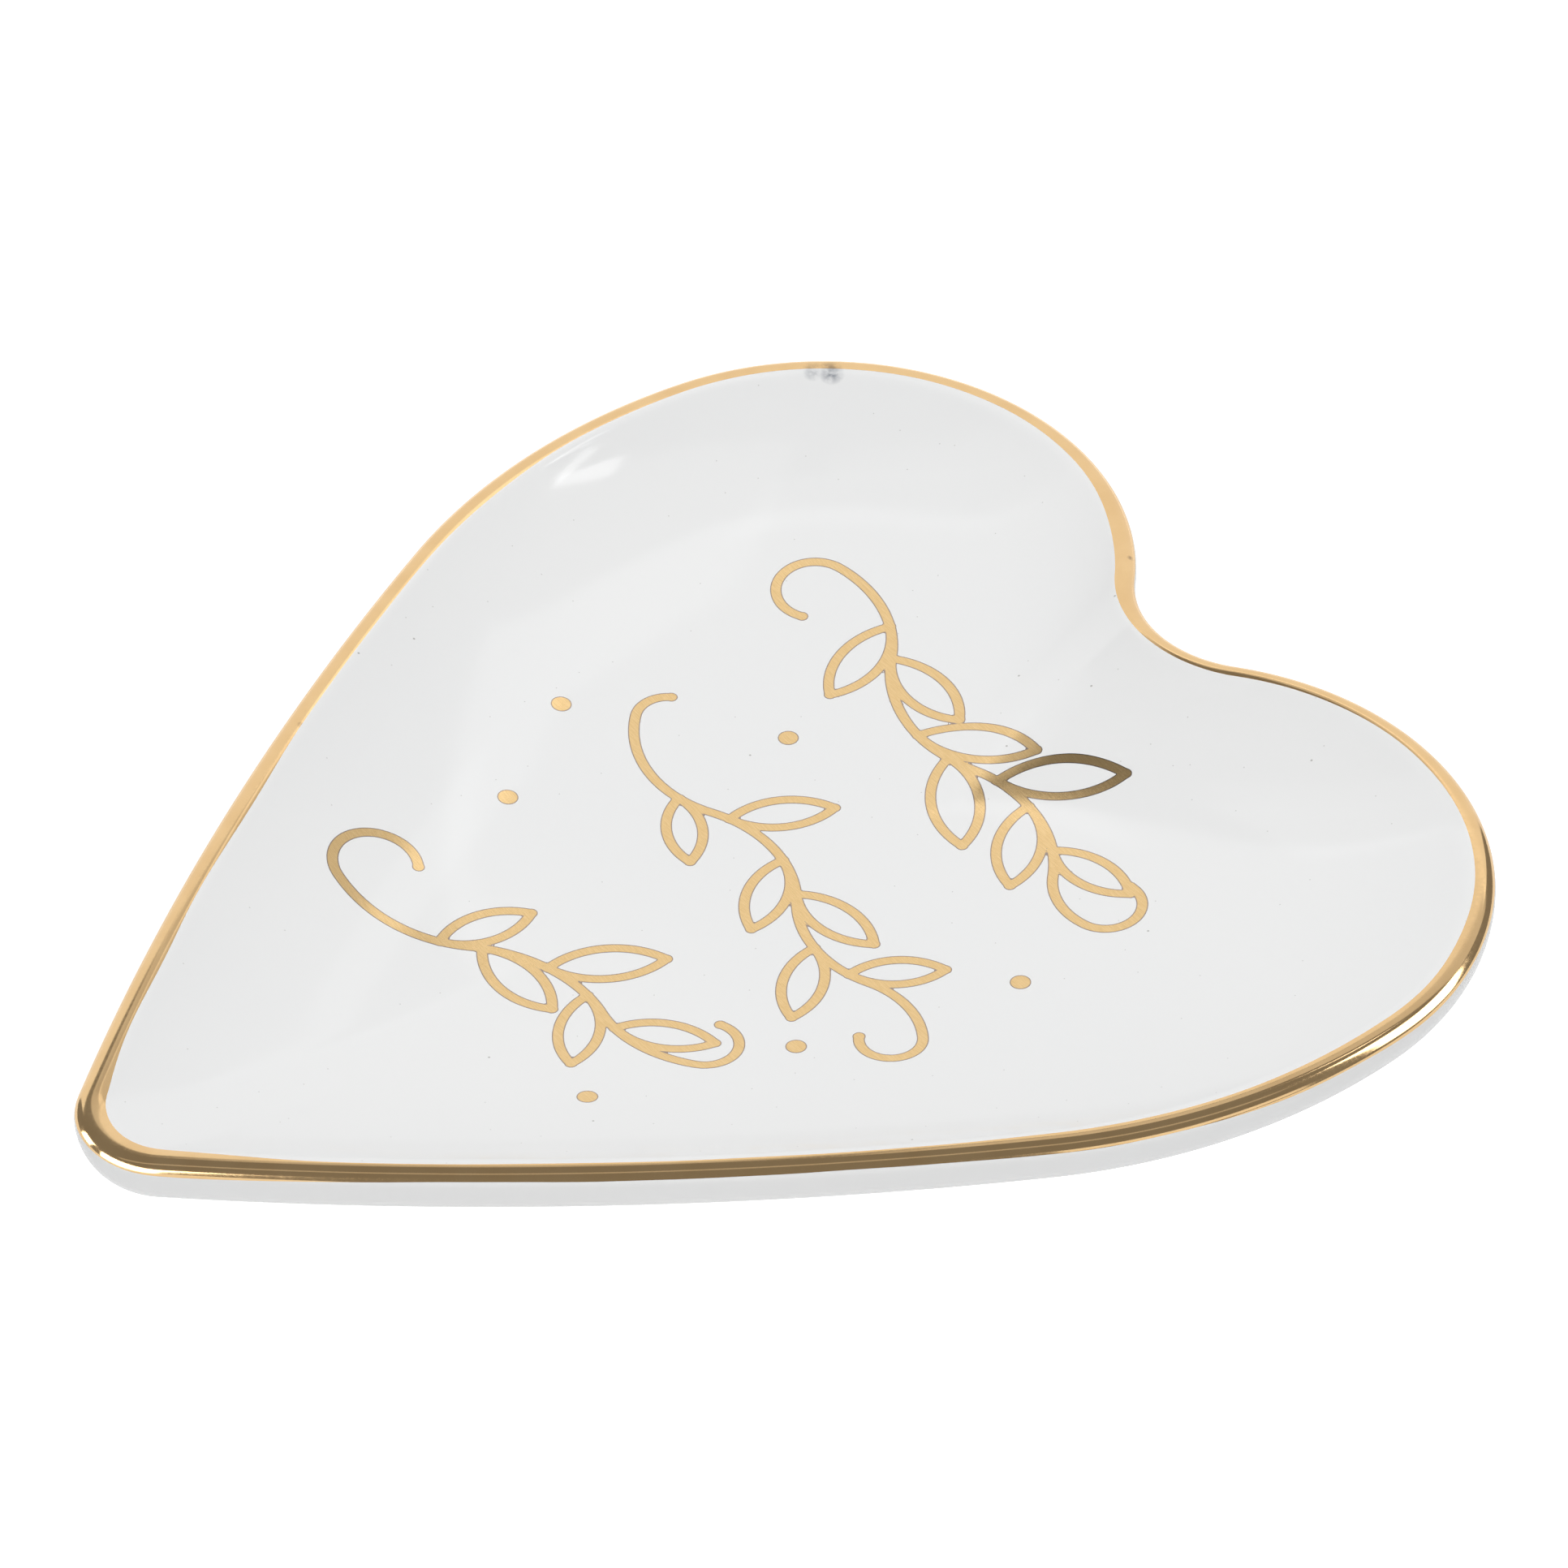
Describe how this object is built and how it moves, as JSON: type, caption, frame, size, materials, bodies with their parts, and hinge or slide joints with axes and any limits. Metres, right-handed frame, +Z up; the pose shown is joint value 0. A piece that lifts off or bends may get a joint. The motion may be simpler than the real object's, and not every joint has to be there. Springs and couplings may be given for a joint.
{
  "type": "heart-shaped trinket dish",
  "caption": "Shallow heart-shaped porcelain dish with a glazed bowl, gold rim, gold leafy sprigs and a heart-shaped foot ring, for holding rings and small jewellery.",
  "frame": {"origin": "on the standing surface, under the middle of the bounding box", "axes": "+Z up out of the bowl; +Y towards the cleft of the heart and -Y towards its tip; +X to the right lobe"},
  "size_m": [0.1102, 0.1252, 0.0116],
  "materials": {
    "bisque": "unglazed fired porcelain, matt",
    "glaze": "clear glossy glaze over white porcelain",
    "rim_gold": "fired gold lustre, mirror bright, slightly uneven",
    "decal_gold": "fired gold decal, satin with fine brushed streaks"
  },
  "bodies": {
    "root": {"porcelain_body": "bisque", "glaze_coat": "glaze", "foot_recess_glaze": "glaze", "rim_gold_band": "rim_gold", "gold_sprig_upper": "decal_gold", "gold_sprig_middle": "decal_gold", "gold_sprig_lower": "decal_gold", "gold_berries": "decal_gold"}
  },
  "joints": []
}
